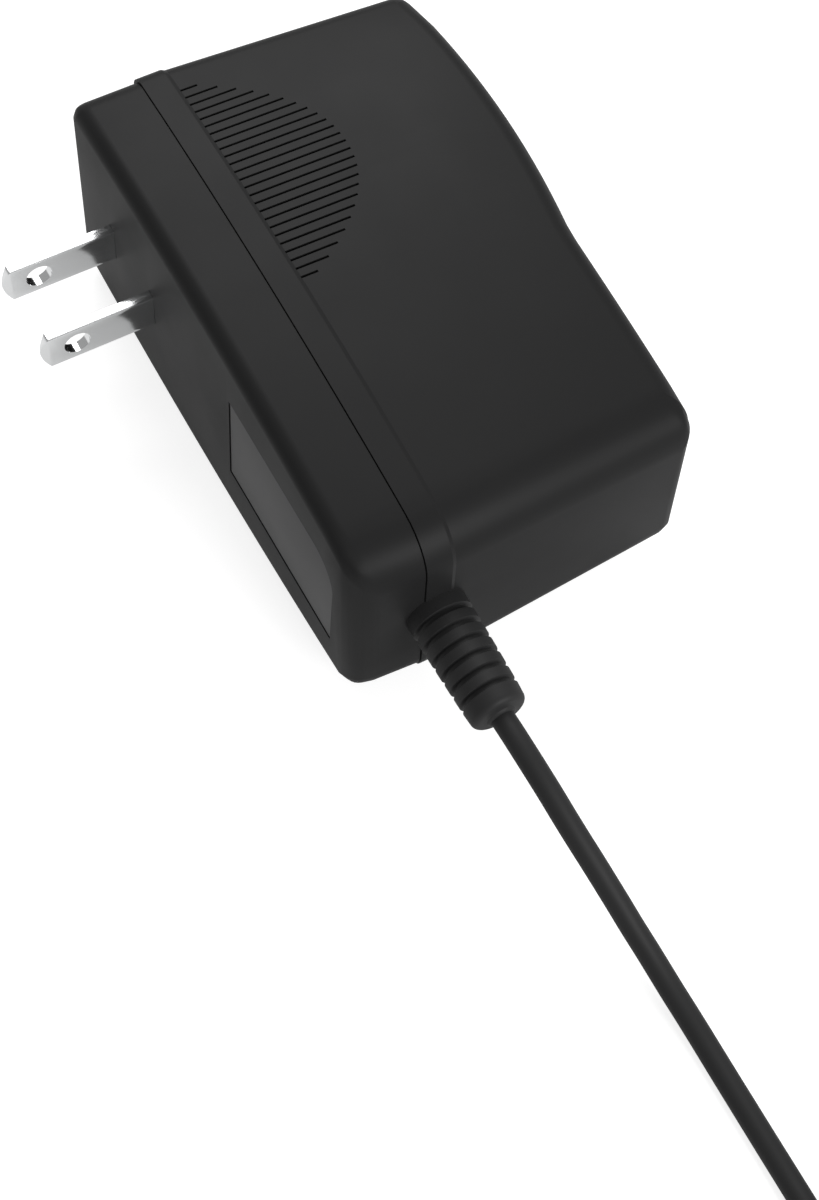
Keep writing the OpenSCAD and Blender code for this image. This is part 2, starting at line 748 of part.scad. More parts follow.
// Strain relief, turned round the lead's axis. Its outline runs from the flange to the tip.
module relief_profile() {
    base_r = relief_base_d / 2;
    tip_r = relief_tip_d / 2;
    flange_in = exit_y + band_height + wall + 0.3;
    inner = flange_in - exit_y;
    first = relief_len - 3.9 - (relief_grooves - 1) * relief_pitch;
    difference() {
        polygon([[0, -inner - relief_flange], [relief_flange_d / 2, -inner - relief_flange],
            [relief_flange_d / 2, -inner], [relief_neck_d / 2, -inner], [relief_neck_d / 2, 0],
            [base_r, 0], [base_r, 0.4], [tip_r, relief_len - 1.6], [tip_r - 0.3, relief_len - 0.7],
            [tip_r - 1.1, relief_len - 0.15], [tip_r - 1.9, relief_len], [0, relief_len]]);
        for (i = [0:relief_grooves - 1])
            translate([base_r, first + i * relief_pitch]) circle(r = relief_groove_depth + 0.25, $fn = 24);
    }
}

module strain_relief() {
    color(soft_plastic) from_wall() translate([exit_x, exit_y, 0]) rotate([90, 0, 0])
        rotate_extrude($fn = 64) relief_profile();
}

// Inner wires of the lead: out of the flange, an elbow, and down through the board
wire_d = 1.6;
wire_bend = 3;
wire_start = exit_y + band_height + wall + 0.3 + relief_flange;
module inner_wire(at) {
    run = at[1] - wire_start - wire_bend;
    drop = -board_top - wire_bend;
    from_wall() translate([at[0], wire_start, 0]) {
        rotate([-90, 0, 0]) cylinder(d = wire_d, h = run, $fn = 24);
        translate([0, run, -wire_bend]) rotate([90, 0, 90]) rotate_extrude(angle = 90, $fn = 48)
            translate([wire_bend, 0]) circle(d = wire_d, $fn = 24);
        translate([0, run + wire_bend, -wire_bend - drop]) cylinder(d = wire_d, h = drop, $fn = 24);
        translate([0, run + wire_bend, board_z - 0.8])
            cylinder(d = pin_d, h = board_thick + 1, $fn = 24);
    }
}

module positive_wire() {
    color([0.6, 0.15, 0.12]) inner_wire(wire_at[0]);
}

module negative_wire() {
    color([0.1, 0.1, 0.1]) inner_wire(wire_at[1]);
}

// The lead from the strain relief down to the surface and along it to the coil
lead_route = [[-6.45, -61.2, 19.3], [-6.4, -63, 19.25], [-6.25, -66, 18.9], [-6, -69, 18.2],
    [-5.65, -72, 17.1], [-5.25, -75, 15.7], [-4.75, -78, 14.1], [-4.15, -81, 12.3], [-3.55, -84, 10.4],
    [-3, -87, 8.6], [-2.5, -90, 6.9], [-2, -93, 5.4], [-1.6, -96, 4.1], [-1.3, -99, 3.1],
    [-1.05, -102, 2.4], [-0.9, -105, 1.95], [-0.85, -108, 1.75], [-0.85, -112, 1.7], [-0.85, -116, 1.7],
    [-0.85, -121, 1.7], [-0.85, -126, 1.75], [-0.95, -131, 2.1], [-1, -136, 2.3]];
// The lead from the coil to the plug
tail_route = [[52.3, -137, 5.7], [52.5, -134, 5.5], [52.8, -131, 5.3], [53, -128, 5.1],
    [53, -125, 5]];
coil_pitch = cord_d;
coil_half = coil_columns * coil_pitch / 2;
coil_out = coil_radius + coil_half - cord_d / 2;
coil_at = [-1 + coil_out, -152];
coil_z = tie_thick;

// A tube of eight sides along a route
module tube(route, d) {
    n = 8;
    m = len(route);
    function along(i) = route[min(i + 1, m - 1)] - route[max(i - 1, 0)];
    rings = [for (i = [0:m - 1]) let (
            v = i == 0 || i == m - 1 ? [0, sign(along(i)[1]), 0] : along(i) / norm(along(i)),
            s = cross(v, [0, 0, 1]) / norm(cross(v, [0, 0, 1])), u = cross(s, v))
        [for (k = [0:n - 1]) let (a = 360 * (k + 0.5) / n)
            route[i] + d / 2 * (cos(a) * s + sin(a) * u)]];
    points = [for (r = rings) each r];
    sides = [for (j = [0:m - 2]) for (k = [0:n - 1]) let (q = (k + 1) % n)
        each [[j * n + k, (j + 1) * n + k, (j + 1) * n + q], [j * n + k, (j + 1) * n + q, j * n + q]]];
    polyhedron(points, concat(sides, [[for (k = [0:n - 1]) k]],
        [[for (k = [n - 1:-1:0]) (m - 1) * n + k]]), convexity = 6);
}

module cord_lead() {
    color(soft_plastic) tube(lead_route, cord_d);
}

module cord_tail() {
    color(soft_plastic) tube(tail_route, cord_d);
}

// Outer shape of the wound coil, with a short straight stretch where the lead comes and goes
module cord_coil() {
    r_in = coil_radius - coil_half;
    r_out = coil_radius + coil_half;
    height = coil_layers * cord_d;
    edge = cord_d / 2;
    lead_end = lead_route[len(lead_route) - 1][1];
    color(soft_plastic) {
        translate([coil_at[0], coil_at[1], coil_z]) rotate_extrude($fn = 96)
            polygon([[r_in + edge * 0.3, 0], [r_out - edge * 0.3, 0], [r_out, edge * 0.3],
                [r_out, height - edge * 0.3], [r_out - edge * 0.3, height],
                [r_in + edge * 0.3, height], [r_in, height - edge * 0.3], [r_in, edge * 0.3]]);
        translate([coil_at[0] - coil_out, lead_end, coil_z + cord_d / 2]) rotate([90, 0, 0])
            cylinder(d = cord_d, h = lead_end - coil_at[1], $fn = 32);
        translate([coil_at[0] + coil_out, coil_at[1], coil_z + (coil_layers - 0.5) * cord_d])
            rotate([-90, 0, 0]) cylinder(d = cord_d, h = tail_route[0][1] - coil_at[1], $fn = 32);
    }
}

// A flat tie that closes round one side of the coil
module cord_tie() {
    r_in = coil_radius - coil_half - 0.1;
    r_out = coil_radius + coil_half + 0.1;
    height = coil_layers * cord_d;
    color([0.1, 0.1, 0.1]) translate([coil_at[0], coil_at[1], 0]) difference() {
        translate([-tie_width / 2, -r_out - tie_thick, 0])
            cube([tie_width, r_out - r_in + 2 * tie_thick, height + 2 * tie_thick + 0.1]);
        difference() {
            translate([0, 0, tie_thick]) cylinder(r = r_out, h = height + 0.1, $fn = 96);
            translate([0, 0, tie_thick - 1]) cylinder(r = r_in, h = height + 2, $fn = 96);
        }
    }
}

// Barrel plug, turned round its axis, lying beside the coil and pointing to +Y
plug_at = [53, -125, 5];
module plug_turned() {
    translate(plug_at) rotate([-90, 0, 0]) rotate_extrude($fn = 64) children();
}

module plug_body() {
    r = grip_d / 2;
    color(soft_plastic) plug_turned()
        polygon([[0, 0], [2.6, 0], [3.1, 4], [3.9, 7], [r - 0.3, 9.5], [r, 10.5],
            [r, grip_length - 2], [r - 0.5, grip_length - 1], [r - 1, grip_length - 0.5],
            [r - 1, grip_length], [0, grip_length]]);
}

sleeve_wall = 0.35;
tip_ring = 0.8;
contact_wall = 0.3;
module plug_sleeve() {
    color(nickel) plug_turned() translate([barrel_d / 2 - sleeve_wall, grip_length])
        square([sleeve_wall, barrel_len - tip_ring]);
}

module plug_insulator() {
    inner_r = barrel_bore / 2 + contact_wall;
    color([0.08, 0.08, 0.08]) plug_turned()
        polygon([[inner_r, grip_length], [barrel_d / 2 - sleeve_wall, grip_length],
            [barrel_d / 2 - sleeve_wall, grip_length + barrel_len - tip_ring],
            [barrel_d / 2, grip_length + barrel_len - tip_ring],
            [barrel_d / 2, grip_length + barrel_len - 0.2],
            [barrel_d / 2 - 0.2, grip_length + barrel_len],
            [inner_r, grip_length + barrel_len]]);
}

module plug_contact() {
    color([0.75, 0.68, 0.4]) plug_turned() translate([barrel_bore / 2, grip_length])
        square([contact_wall, barrel_len]);
}

front_cover();
rear_housing();
blank_plate();
line_blade();
neutral_blade();
line_contact();
neutral_contact();
circuit_board();
insulating_sheet();
fuse();
thermistor();
x_capacitor();
choke_core();
choke_windings();
bridge_rectifier();
bulk_capacitor();
switching_transistor();
primary_heat_sink();
transformer_core();
transformer_bobbin();
transformer_winding();
y_capacitor();
optocoupler();
controller_chip();
output_diode();
output_heat_sink();
output_capacitors();
output_inductor();
positive_wire();
negative_wire();
strain_relief();
cord_lead();
cord_coil();
cord_tail();
cord_tie();
plug_body();
plug_sleeve();
plug_insulator();
plug_contact();
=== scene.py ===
# %% [markdown]
# A wall power adapter in Blender
#
# The adapter lies on one broad face. +X points out of the wall, so its blades point to -X, the lead
# leaves towards -Y, and +Z is up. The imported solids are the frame: they give every place and size,
# and this script gives the adapter its looks. HAIR is the play, a hundredth of a millimetre, that the
# tests allow when they look for the vertices at a place.

# %% Load the frame
import json
import math

import bpy
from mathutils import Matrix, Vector


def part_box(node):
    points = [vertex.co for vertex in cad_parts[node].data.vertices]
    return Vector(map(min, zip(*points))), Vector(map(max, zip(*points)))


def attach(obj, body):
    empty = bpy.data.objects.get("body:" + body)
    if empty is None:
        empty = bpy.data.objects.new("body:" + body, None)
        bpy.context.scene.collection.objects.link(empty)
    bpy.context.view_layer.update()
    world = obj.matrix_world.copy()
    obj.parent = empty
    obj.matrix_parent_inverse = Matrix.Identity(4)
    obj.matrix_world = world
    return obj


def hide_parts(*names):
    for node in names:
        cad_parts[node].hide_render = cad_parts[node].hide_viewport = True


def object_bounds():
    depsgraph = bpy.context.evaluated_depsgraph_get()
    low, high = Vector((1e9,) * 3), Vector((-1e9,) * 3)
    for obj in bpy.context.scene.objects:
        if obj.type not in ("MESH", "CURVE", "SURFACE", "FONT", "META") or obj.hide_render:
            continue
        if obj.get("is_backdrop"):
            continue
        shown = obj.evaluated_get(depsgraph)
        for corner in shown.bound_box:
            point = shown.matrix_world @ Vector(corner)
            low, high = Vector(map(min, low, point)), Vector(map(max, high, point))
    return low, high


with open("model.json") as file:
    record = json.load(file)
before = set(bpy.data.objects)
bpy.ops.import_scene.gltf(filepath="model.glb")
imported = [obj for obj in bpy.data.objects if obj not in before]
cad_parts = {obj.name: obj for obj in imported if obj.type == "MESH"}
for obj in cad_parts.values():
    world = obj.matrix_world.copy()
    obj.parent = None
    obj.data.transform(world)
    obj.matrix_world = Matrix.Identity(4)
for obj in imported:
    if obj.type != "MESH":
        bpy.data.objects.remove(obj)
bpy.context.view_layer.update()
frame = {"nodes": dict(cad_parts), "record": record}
scene = bpy.context.scene
MM = 0.001
HAIR = 1e-5

# %% [markdown]
# The camera stands where the photographer's did. Its place and its three angles were fitted to the
# straight edges of the housing and to the two blades, whose size is standard. The picture is 819 by
# 1200 pixels, and its long side is the side that the 36 mm sensor spans.

# %% Camera
camera_place = Vector((-88.34, -149.96, 282.28)) * MM
camera_angles = [math.radians(a) for a in (27.110, -3.470, -29.062)]
lens_mm = 66.66

bpy.ops.object.camera_add(location=camera_place, rotation=camera_angles)
camera = bpy.context.object
camera.name = "photo_camera"
camera.data.sensor_width = 36
camera.data.sensor_fit = "AUTO"
camera.data.lens = lens_mm
camera.data.clip_start = 0.01
camera.data.clip_end = 20
scene.camera = camera
scene.view_settings.view_transform = "Standard"
print("camera", round(camera_place.length / MM), "mm from the origin")

# %% [markdown]
# Everything is driven by a few sizes. Those of the housing come from the solids themselves, so the
# looks follow when the solids change, and the rest are the designer's own roundings and drafts. The
# cord end leans a little: its upper edge lies further in than its lower one. The band ends in a short
# slope, a quarter of which lies before the end of the band and the rest behind it.

# %% Sizes of the housing
wall_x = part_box("front_cover")[0].x
rear_low, rear_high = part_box("rear_housing")
band_height = 0.2 * MM
band_slope = 0.6 * MM
end_y = rear_high.y - band_height
mid_z = (rear_low.z + rear_high.z) / 2
half_thick = rear_high.z - mid_z - band_height
cover_depth = 10.2 * MM
joint_gap = 0.13 * MM
band_end = 14.3 * MM
slope_start = band_end - 0.25 * band_slope
slope_end = band_end + 0.75 * band_slope
body_depth = 52.8 * MM
grip_bulge = 1.95 * MM
grip_len = 49.5 * MM
shell_wall = 2.2 * MM
crown_radius = 417 * MM
crown_shift = 8.5 * MM
face_draft = math.radians(2)
end_draft = math.radians(2.5)
near_round = 6 * MM
low_round = 4.6 * MM
far_round = 2.8 * MM
front_round = 2.4 * MM
back_round = 3.2 * MM
corner_round = 2.4 * MM
near_wall_corner = 4 * MM
far_wall_corner = 2.4 * MM
cover_far_round = 3.4 * MM
lean_in = 1.05 * MM
lean_out = 0.8 * MM
cover_lean = math.radians(3.8)
print("housing", round(2 * end_y / MM, 1), "by", round(2 * half_thick / MM, 1), "mm")


# %% Small helpers for modelling
def start_clean():
    if bpy.context.object and bpy.context.object.mode != "OBJECT":
        bpy.ops.object.mode_set(mode="OBJECT")
    bpy.ops.object.select_all(action="DESELECT")


def take(piece):
    """Selects one piece and nothing else, and makes it the active one."""
    start_clean()
    piece.select_set(True)
    bpy.context.view_layer.objects.active = piece


def edit(piece, part="FACE"):
    """Opens a piece in edit mode with nothing selected."""
    take(piece)
    bpy.ops.object.mode_set(mode="EDIT")
    bpy.ops.mesh.select_mode(type=part)
    bpy.ops.mesh.select_all(action="DESELECT")


def pick(piece, part, test):
    """Selects the vertices, edges or faces that pass a test, and says how many there are."""
    bpy.ops.object.mode_set(mode="OBJECT")
    kinds = {"VERT": piece.data.vertices, "EDGE": piece.data.edges, "FACE": piece.data.polygons}
    for items in kinds.values():
        items.foreach_set("select", [False] * len(items))
    count = 0
    for item in kinds[part]:
        item.select = bool(test(item))
        count += item.select
    bpy.ops.object.mode_set(mode="EDIT")
    bpy.ops.mesh.select_mode(type=part)
    return count


def place(piece):
    """Puts the place, turn and scale of a piece into its mesh."""
    take(piece)
    bpy.ops.object.transform_apply(location=True, rotation=True, scale=True)


def finish_modifiers(piece):
    """Applies the modifiers of a piece in their order."""
    take(piece)
    for modifier in list(piece.modifiers):
        bpy.ops.object.modifier_apply(modifier=modifier.name)


def cut(piece, cutter, operation="DIFFERENCE"):
    """Cuts a piece with another object, which then goes away."""
    boolean = piece.modifiers.new("cut", "BOOLEAN")
    boolean.operation = operation
    boolean.solver = "EXACT"
    boolean.object = cutter
    finish_modifiers(piece)
    bpy.data.objects.remove(cutter)


def smooth(piece, degrees=32):
    """Shades a piece smooth, apart from edges sharper than an angle."""
    take(piece)
    bpy.ops.object.shade_smooth_by_angle(angle=math.radians(degrees))


def block(name, low, high):
    """A cube primitive between two corners, with its place in its mesh."""
    start_clean()
    low, high = Vector(low), Vector(high)
    bpy.ops.mesh.primitive_cube_add(size=1, location=(low + high) / 2)
    piece = bpy.context.object
    piece.name = name
    piece.scale = high - low
    place(piece)
    return piece


def rod(name, radius, start, end, sides=64):
    """A cylinder primitive from one point to another, with its place in its mesh."""
    start_clean()
    start, end = Vector(start), Vector(end)
    axis = end - start
    bpy.ops.mesh.primitive_cylinder_add(vertices=sides, radius=radius, depth=axis.length,
                                        location=(start + end) / 2,
                                        rotation=axis.to_track_quat("Z", "Y").to_euler())
    piece = bpy.context.object
    piece.name = name
    place(piece)
    return piece


# %% [markdown]
# The housing is a moulded loaf. Its two broad faces are crowned by one long arc, its back is straight
# at the cord end and arched at the grip, and every face behind the raised band leans in a little, so
# that the part leaves its mould. It starts as a cube. Cuts across it give the slices that the arcs
# need, and each slice is then moved by its own amount.

# %% The loaf that both shells are made from
plain_end = 9.5 * MM
end_zone = 4 * MM


def crown(y):
    """How far the broad face lies under its highest point at the place y."""
    return crown_radius - math.sqrt(crown_radius ** 2 - (y - crown_shift) ** 2)


def bulge(y):
    """How far the back stands out at the place y."""
    across = (y - (end_y - grip_len / 2)) / (grip_len / 2)
    arc = grip_bulge * (1 - across ** 2)
    ease = 0.12 * MM
    return max(arc, 0) if across > 0 else (arc + math.hypot(arc, ease)) / 2


def loaf(name, front, back, slices, bulged):
    """A closed block between two depths, with the crown and, if it is bulged, the arched back."""
    piece = block(name, (wall_x + front, -end_y, mid_z - half_thick),
                  (wall_x + back, end_y, mid_z + half_thick))
    edit(piece)
    first = -end_y + plain_end
    last = end_y - plain_end
    cuts = [first + (last - first) * i / slices for i in range(slices + 1)]
    for y in cuts:
        bpy.ops.mesh.select_all(action="SELECT")
        bpy.ops.mesh.bisect(plane_co=(0, y, 0), plane_no=(0, 1, 0))
    for y in [-end_y, end_y] + cuts:
        for side in (-1, 1):
            pick(piece, "VERT", lambda v: abs(v.co.y - y) < HAIR
                 and side * (v.co.z - mid_z) > half_thick / 2)
            bpy.ops.transform.translate(value=(0, 0, -side * crown(y)))
        if bulged:
            pick(piece, "VERT", lambda v: abs(v.co.y - y) < HAIR
                 and v.co.x > wall_x + back - HAIR)
            bpy.ops.transform.translate(value=(bulge(y), 0, 0))
    return piece


def lean_cord_end(piece):
    """Leans the cord end, so that its upper edge lies further in than its lower one."""
    pick(piece, "VERT", lambda v: v.co.y < -end_y + end_zone and v.co.z > mid_z)
    bpy.ops.transform.translate(value=(0, lean_in, 0))
    pick(piece, "VERT", lambda v: v.co.y < -end_y + end_zone and v.co.z < mid_z)
    bpy.ops.transform.translate(value=(0, -lean_out, 0))


def is_along(edge, piece, axis):
    """Whether an edge runs along an axis, give or take the draft."""
    a, b = (piece.data.vertices[i].co for i in edge.vertices)
    return abs((b - a).normalized()[axis]) > 0.9


def middle(edge, piece):
    """The middle of an edge."""
    a, b = (piece.data.vertices[i].co for i in edge.vertices)
    return (a + b) / 2


def round_edges(piece, radii, segments):
    """Rounds edges with one bevel. radii is a function that gives an edge its radius."""
    widest = max(near_round, corner_round)
    weights = piece.data.attributes.new("bevel_weight_edge", "FLOAT", "EDGE")
    for edge in piece.data.edges:
        weights.data[edge.index].value = radii(edge) / widest
    bevel = piece.modifiers.new("roundings", "BEVEL")
    bevel.limit_method = "WEIGHT"
    bevel.width = widest
    bevel.segments = segments
    bevel.use_clamp_overlap = False
    bevel.loop_slide = False
    finish_modifiers(piece)


# %% [markdown]
# The rear shell is the deep one. After the cuts its back is drawn in by the draft, the edges are
# rounded in one bevel with a radius for each kind of edge, and a band right behind the joint is
# fattened by two tenths of a millimetre. Solidify then gives the cup its wall.

# %% Rear shell
rear = loaf("rear_shell", cover_depth + joint_gap, body_depth, 24, True)
draft_run = body_depth - slope_end
edit(rear)
bpy.ops.mesh.select_all(action="SELECT")
bpy.ops.mesh.bisect(plane_co=(wall_x + slope_end, 0, 0), plane_no=(1, 0, 0))
for side in (-1, 1):
    back_edge = wall_x + body_depth - HAIR
    pick(rear, "VERT", lambda v: v.co.x > back_edge and side * (v.co.z - mid_z) > 0)
    bpy.ops.transform.translate(value=(0, 0, -side * draft_run * math.tan(face_draft)))
    pick(rear, "VERT", lambda v: v.co.x > back_edge and side * v.co.y > end_y - HAIR)
    bpy.ops.transform.translate(value=(0, -side * draft_run * math.tan(end_draft), 0))
lean_cord_end(rear)
start_clean()


def rear_radius(edge):
    m = middle(edge, rear)
    at_back = m.x > wall_x + body_depth - 1 * MM
    at_end = abs(m.y) > end_y - 5 * MM
    if at_back and is_along(edge, rear, 2) and at_end:
        return corner_round
    if at_back and is_along(edge, rear, 1):
        return back_round
    if is_along(edge, rear, 0) and at_end:
        return far_round if m.y > 0 else near_round if m.z > mid_z else low_round
    return 0


round_edges(rear, rear_radius, 8)
print("rear shell", len(rear.data.polygons), "faces")


# %% Raised band, wall and holes of the rear shell
def raise_band(piece):
    """Fattens the strip right behind the joint, with a short slope where it ends."""
    edit(piece)
    top_of_slope = wall_x + slope_start
    bpy.ops.mesh.select_all(action="SELECT")
    bpy.ops.mesh.bisect(plane_co=(top_of_slope, 0, 0), plane_no=(1, 0, 0))
    joint = wall_x + cover_depth + joint_gap
    pick(piece, "VERT", lambda v: v.co.x < top_of_slope + 5 * HAIR)
    bpy.ops.transform.resize(value=(1, 1 + band_height / end_y, 1 + band_height / half_thick),
                             center_override=(joint, 0, mid_z))
    pick(piece, "FACE", lambda f: f.center.x < joint + HAIR)
    bpy.ops.mesh.delete(type="FACE")
    start_clean()


def give_wall(piece):
    """Turns a cup without thickness into a shell of the moulded wall."""
    solidify = piece.modifiers.new("wall", "SOLIDIFY")
    solidify.thickness = shell_wall
    solidify.offset = -1
    finish_modifiers(piece)


raise_band(rear)
give_wall(rear)
relief_x = wall_x + cover_depth + (band_end - cover_depth) / 2
neck_hole_radius = 3.3 * MM
cut(rear, rod("neck_hole", neck_hole_radius, (relief_x, -end_y - 2 * MM, mid_z),
              (relief_x, -end_y + 6 * MM, mid_z)))
print("rear shell", len(rear.data.polygons), "faces")

# %% [markdown]
# The grip is a fan of fine grooves. Their starts stand in a row along the band, and their ends follow
# an arc. One cutter is modelled as a thin block that leans with the draft, copied to its place for
# each groove, and all are joined so that one cut makes them.

# %% Grip grooves
groove_count = 25
groove_pitch = 1.5 * MM
groove_width = 0.37 * MM
groove_depth = 0.6 * MM
groove_len = 16.5 * MM
groove_shift = 19 * MM
groove_start = 0.35 * MM
fan_margin = 0.7 * MM
fan_curve = 2.2


def groove_cutter(y, length):
    """One thin block whose floor lies under the broad face by the groove's depth."""
    top = mid_z + half_thick - crown(y)
    start = wall_x + band_end + groove_start
    cutter = block("groove", (start, y - groove_width / 2, top - groove_depth),
                   (start + length, y + groove_width / 2, top + 1 * MM))
    edit(cutter)
    bpy.ops.mesh.select_all(action="SELECT")
    drop = length * math.tan(face_draft)
    pick(cutter, "VERT", lambda v: v.co.x > start + length / 2)
    bpy.ops.transform.translate(value=(0, 0, -drop))
    start_clean()
    return cutter


cutters = []
reach = groove_count * groove_pitch / 2
for i in range(groove_count):
    away = (i - (groove_count - 1) / 2) * groove_pitch
    length = groove_len * (1 - (abs(away) / (reach + fan_margin)) ** fan_curve)
    cutters.append(groove_cutter(groove_shift - away, length))
start_clean()
for cutter in cutters:
    cutter.select_set(True)
bpy.context.view_layer.objects.active = cutters[0]
bpy.ops.object.join()
cut(rear, cutters[0])
smooth(rear, 14)
print("rear shell with grooves", len(rear.data.polygons), "faces")

# %% [markdown]
# The front cover is the shallow shell with the wall face. Its rim has a 2.4 mm rounding, and its cord
# end leans in towards the wall. The recess of the plate and the slots of the blades are cut last.

# %% Front cover
cover = loaf("front_cover_shell", 0, cover_depth, 24, False)
edit(cover)
pick(cover, "VERT", lambda v: v.co.x < wall_x + HAIR and v.co.y < -end_y + HAIR)
bpy.ops.transform.translate(value=(0, cover_depth * math.tan(cover_lean), 0))
lean_cord_end(cover)
start_clean()


def cover_radius(edge):
    m = middle(edge, cover)
    at_end = abs(m.y) > end_y - end_zone
    if m.x < wall_x + HAIR and is_along(edge, cover, 2) and at_end:
        return near_wall_corner if m.y < 0 else far_wall_corner
    if m.x < wall_x + HAIR and is_along(edge, cover, 1):
        return front_round
    if is_along(edge, cover, 0) and at_end:
        return cover_far_round if m.y > 0 else near_round if m.z > mid_z else low_round
    return 0


round_edges(cover, cover_radius, 8)
edit(cover)
pick(cover, "FACE", lambda f: f.center.x > wall_x + cover_depth - HAIR)
bpy.ops.mesh.delete(type="FACE")
give_wall(cover)
plate_low, plate_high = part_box("blank_plate")
plate_gap = 0.2 * MM
plate_recess = 0.35 * MM
plate_round = 5.4 * MM


def plate_block(name, grow, front, back):
    """A flat block in the outline of the plate, with one large rounded corner."""
    piece = block(name, (front, plate_low.y - grow, plate_low.z - grow),
                  (back, plate_high.y + grow, plate_high.z + grow))
    edit(piece, "EDGE")
    pick(piece, "EDGE", lambda e: is_along(e, piece, 0) and middle(e, piece).y < plate_low.y + HAIR
         and middle(e, piece).z > plate_high.z - HAIR)
    bpy.ops.mesh.bevel(offset=plate_round + grow, segments=16)
    start_clean()
    return piece


cut(cover, plate_block("plate_recess", plate_gap, wall_x - 1 * MM, wall_x + plate_recess))
blade_fit = 0.05 * MM
blade_width = 6.35 * MM
blade_thick = 1.5 * MM
blade_nodes = ("line_blade", "neutral_blade")
for node in blade_nodes:
    low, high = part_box(node)
    y = (low.y + high.y) / 2
    wide = blade_thick / 2 + blade_fit
    high_by = blade_width / 2 + blade_fit
    cut(cover, block("slot", (wall_x - 1 * MM, y - wide, mid_z - high_by),
                     (wall_x + 5 * MM, y + wide, mid_z + high_by)))
smooth(cover)
print("front cover", len(cover.data.polygons), "faces")

# %% [markdown]
# The blank plate is a separate piece that sits in its recess. It starts as the block that cut the
# recess, without the gap, and its front edges are broken by a fine bevel that catches the light.

# %% Blank plate
plate = plate_block("label_plate", 0, plate_low.x, plate_high.x)
plate_edge = plate.modifiers.new("broken edge", "BEVEL")
plate_edge.width = 0.08 * MM
plate_edge.segments = 2
plate_edge.limit_method = "ANGLE"
plate_edge.angle_limit = math.radians(60)
finish_modifiers(plate)
smooth(plate)
print("plate", round((plate_high.z - plate_low.z) / MM, 1), "mm high")

# %% [markdown]
# The mains blades are stamped from nickelled brass strip. Each starts as a flat face in the strip's
# section at the root, which is extruded to where the tip begins. From there it is extruded in short
# steps, and after each step it is scaled, so that the tip gets its shallow arc and its blunt wedge.

# %% Mains blades
blade_out = 17.3 * MM
blade_bevel = 1.25 * MM
blade_hole = 4 * MM
blade_hole_at = 11.9 * MM
blade_tip = 0.2 * MM
blade_root = 4.2 * MM
stamped_edge = 0.07 * MM
tip_steps = 18
tip_radius = ((blade_width / 2) ** 2 + blade_bevel ** 2) / (2 * blade_bevel)


def mains_blade(name, node):
    """One blade at the place of its solid, from its root in the wall to its tip."""
    low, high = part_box(node)
    y = (low.y + high.y) / 2
    tip = wall_x - blade_out
    root = wall_x + blade_root
    start_clean()
    bpy.ops.mesh.primitive_plane_add(size=1, location=(root, y, mid_z),
                                     rotation=(0, -math.pi / 2, 0))
    blade = bpy.context.object
    blade.name = name
    blade.scale = (blade_width, blade_thick, 1)
    place(blade)
    edit(blade)
    bpy.ops.mesh.select_all(action="SELECT")
    away, width, thick = root - tip, blade_width, blade_thick
    for i in range(tip_steps + 1):
        left = max(blade_bevel * (1 - math.sin(math.pi / 2 * i / tip_steps)), 0.01 * MM)
        next_width = 2 * math.sqrt(tip_radius ** 2 - (tip_radius - left) ** 2)
        next_thick = blade_tip + (blade_thick - blade_tip) * left / blade_bevel
        bpy.ops.mesh.extrude_region_move(TRANSFORM_OT_translate={"value": (left - away, 0, 0)})
        bpy.ops.transform.resize(value=(1, next_thick / thick, next_width / width),
                                 center_override=(0, y, mid_z))
        away, width, thick = left, next_width, next_thick
    bpy.ops.mesh.select_all(action="SELECT")
    bpy.ops.mesh.normals_make_consistent(inside=False)
    start_clean()
    weights = blade.data.attributes.new("bevel_weight_edge", "FLOAT", "EDGE")
    for edge in blade.data.edges:
        a, b = (blade.data.vertices[i].co for i in edge.vertices)
        weights.data[edge.index].value = 1.0 if abs(b.x - a.x) > 5 * MM else 0.0
    edges = blade.modifiers.new("stamped edges", "BEVEL")
    edges.limit_method = "WEIGHT"
    edges.width = stamped_edge
    edges.segments = 2
    finish_modifiers(blade)
    hole_x = wall_x - blade_hole_at
    cut(blade, rod("hole", blade_hole / 2, (hole_x, y - blade_thick, mid_z),
                   (hole_x, y + blade_thick, mid_z), sides=96))
    smooth(blade, 25)
    return blade


blades = [mains_blade(node + "_stamped", node) for node in blade_nodes]
print("blades", round(blade_width / MM, 2), "by", round(blade_thick / MM, 2), "mm")

# %% [markdown]
# The strain relief, the plug and its barrel are turned shapes. One helper draws them: it starts with
# a ring of points and extrudes it step by step along the axis, and after each step the ring is scaled
# to its new radius. Solid pieces get their two ends filled, and tubes are sewn to their first ring.


# %% A helper for turned pieces
def turned(name, foot, along_y, outline, sides=96, tube=False):
    """Turns an outline of (distance, radius) pairs round an axis that runs along -Y or +Y."""
    start_clean()
    distance, radius = outline[0]
    bpy.ops.mesh.primitive_circle_add(vertices=sides, radius=radius, fill_type="NOTHING",
                                      location=(foot[0], foot[1] + along_y * distance, foot[2]),
                                      rotation=(math.pi / 2, 0, 0))
    piece = bpy.context.object
    piece.name = name
    place(piece)
    edit(piece, "VERT")
    bpy.ops.mesh.select_all(action="SELECT")
    if not tube:
        bpy.ops.mesh.edge_face_add()
    for next_distance, next_radius in outline[1:]:
        step = along_y * (next_distance - distance)
        bpy.ops.mesh.extrude_region_move(TRANSFORM_OT_translate={"value": (0, step, 0)})
        grow = next_radius / radius
        bpy.ops.transform.resize(value=(grow, 1, grow), center_override=(foot[0], foot[1], foot[2]))
        distance, radius = next_distance, next_radius
    bpy.ops.mesh.select_all(action="SELECT")
    bpy.ops.mesh.remove_doubles(threshold=1e-6)
    bpy.ops.mesh.normals_make_consistent(inside=False)
    start_clean()
    smooth(piece)
    return piece


